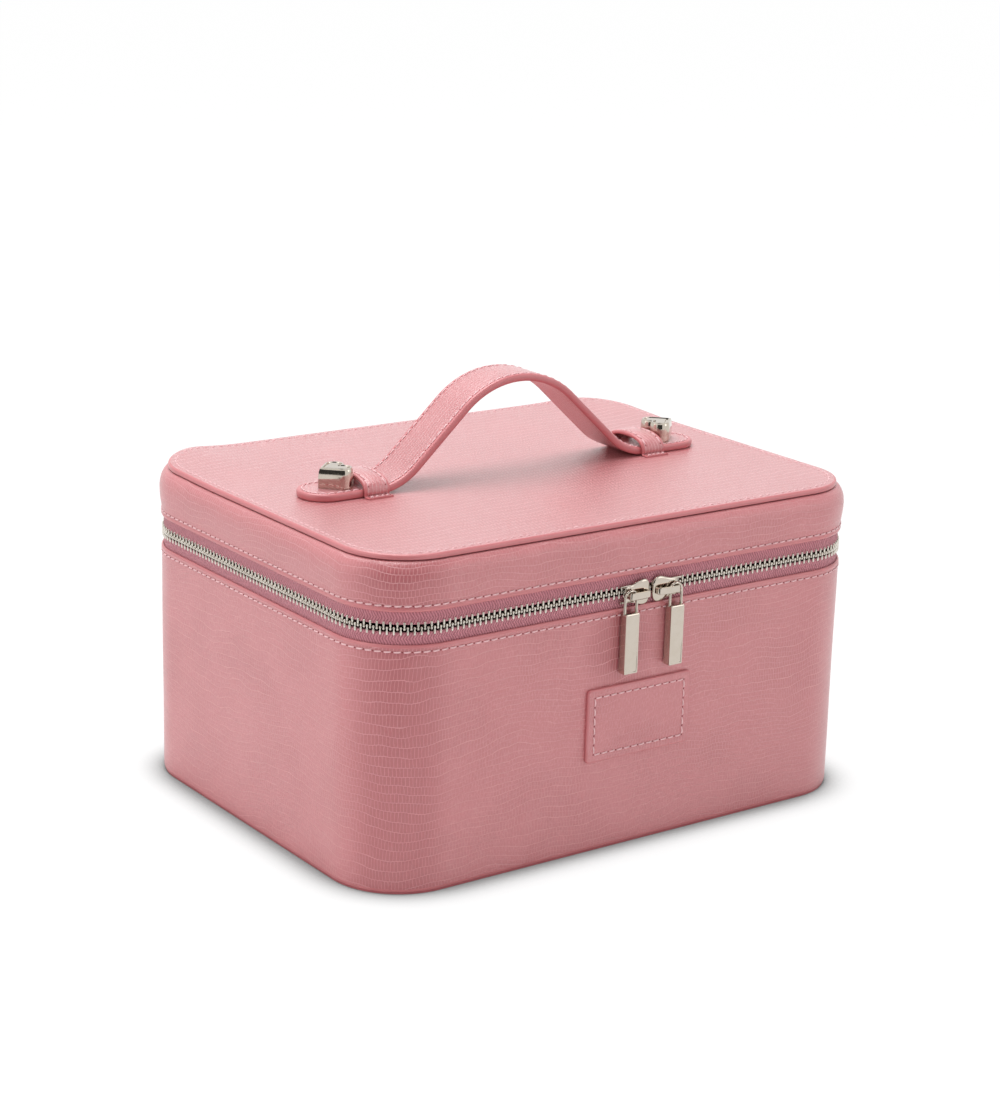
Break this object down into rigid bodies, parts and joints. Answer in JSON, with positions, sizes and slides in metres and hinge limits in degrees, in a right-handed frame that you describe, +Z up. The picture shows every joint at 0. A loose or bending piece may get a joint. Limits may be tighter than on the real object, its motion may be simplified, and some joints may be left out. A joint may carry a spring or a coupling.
{
  "type": "zip-around vanity case",
  "caption": "Soft-sided rectangular vanity case with a hinged lid, a zip round three sides, sliding pulls and an arched strap handle on top.",
  "frame": {"origin": "middle of the flat base, on the surface the case stands on", "axes": "+X along the length to the right as seen from the front, +Y to the hinge at the back, +Z up"},
  "size_m": [0.26, 0.2049, 0.1875],
  "materials": {
    "leather": "embossed imitation leather, satin",
    "leather_edge": "smooth painted edge",
    "strap_leather": "embossed imitation leather, satin",
    "tape": "woven zip tape",
    "teeth": "polished nickel",
    "nickel": "polished nickel",
    "screw": "plain",
    "board": "grey-brown pulp board",
    "foam": "soft foam sheet",
    "lining": "woven lining"
  },
  "bodies": {
    "case_body": {"base_cover": "leather_edge", "base_board": "board", "base_lining": "lining", "body_side_cover": "leather", "body_wall_board": "board", "body_wall_lining": "lining", "front_patch": "leather", "lower_zip_tape": "tape", "lower_zip_teeth": "teeth", "lower_zip_stops": "nickel", "back_hinge_strip": "leather"},
    "lid": {"lid_side_cover": "leather", "lid_wall_board": "board", "lid_wall_lining": "lining", "lid_top_board": "board", "lid_top_lining": "lining", "lid_top_foam": "foam", "lid_panel_board": "board", "lid_top_cover": "leather", "upper_zip_tape": "tape", "upper_zip_teeth": "teeth", "upper_zip_stops": "nickel", "left_loop": "strap_leather", "right_loop": "strap_leather"},
    "grip": {"handle_grip": "strap_leather", "left_handle_rise": "strap_leather", "right_handle_rise": "strap_leather"},
    "left_end": {"left_tab": "strap_leather", "left_stud": "nickel", "left_stud_screw": "screw"},
    "right_end": {"right_tab": "strap_leather", "right_stud": "nickel", "right_stud_screw": "screw"},
    "left_slider_body": {"left_slider": "nickel", "left_slider_bridge": "nickel"},
    "right_slider_body": {"right_slider": "nickel", "right_slider_bridge": "nickel"},
    "left_pull_body": {"left_pull": "nickel"},
    "right_pull_body": {"right_pull": "nickel"}
  },
  "joints": [
    {"name": "lid_hinge", "type": "hinge", "parent": "case_body", "child": "lid", "pos_m": [0, 0.1, 0.11295], "axis": [-1, 0, 0], "range_deg": [0, 105], "deforming": ["back_hinge_strip"]},
    {"name": "handle_drop", "type": "slide", "parent": "lid", "child": "grip", "axis": [0, 0, -1], "range_m": [0, 0.038], "deforming": ["left_handle_rise", "right_handle_rise"]},
    {"name": "left_end_slide", "type": "slide", "parent": "grip", "child": "left_end", "axis": [-0.3325, 0, 0.9431], "range_m": [0, 0.0404]},
    {"name": "right_end_slide", "type": "slide", "parent": "grip", "child": "right_end", "axis": [0.3325, 0, 0.9431], "range_m": [0, 0.0404]},
    {"name": "left_slider_run", "type": "slide", "parent": "case_body", "child": "left_slider_body", "axis": [-1, 0, 0], "range_m": [0, 0.084]},
    {"name": "right_slider_run", "type": "slide", "parent": "case_body", "child": "right_slider_body", "axis": [1, 0, 0], "range_m": [0, 0.074]},
    {"name": "left_pull_swing", "type": "hinge", "parent": "left_slider_body", "child": "left_pull_body", "pos_m": [-0.007, -0.1035, 0.11155], "axis": [0, 1, 0], "range_deg": [-13, 90]},
    {"name": "right_pull_swing", "type": "hinge", "parent": "right_slider_body", "child": "right_pull_body", "pos_m": [0.017, -0.1035, 0.11155], "axis": [0, -1, 0], "range_deg": [-13, 90]}
  ],
  "couplings": [
    {"joint": "left_end_slide", "follows": "handle_drop", "ratio": 1.0604},
    {"joint": "right_end_slide", "follows": "handle_drop", "ratio": 1.0604}
  ]
}
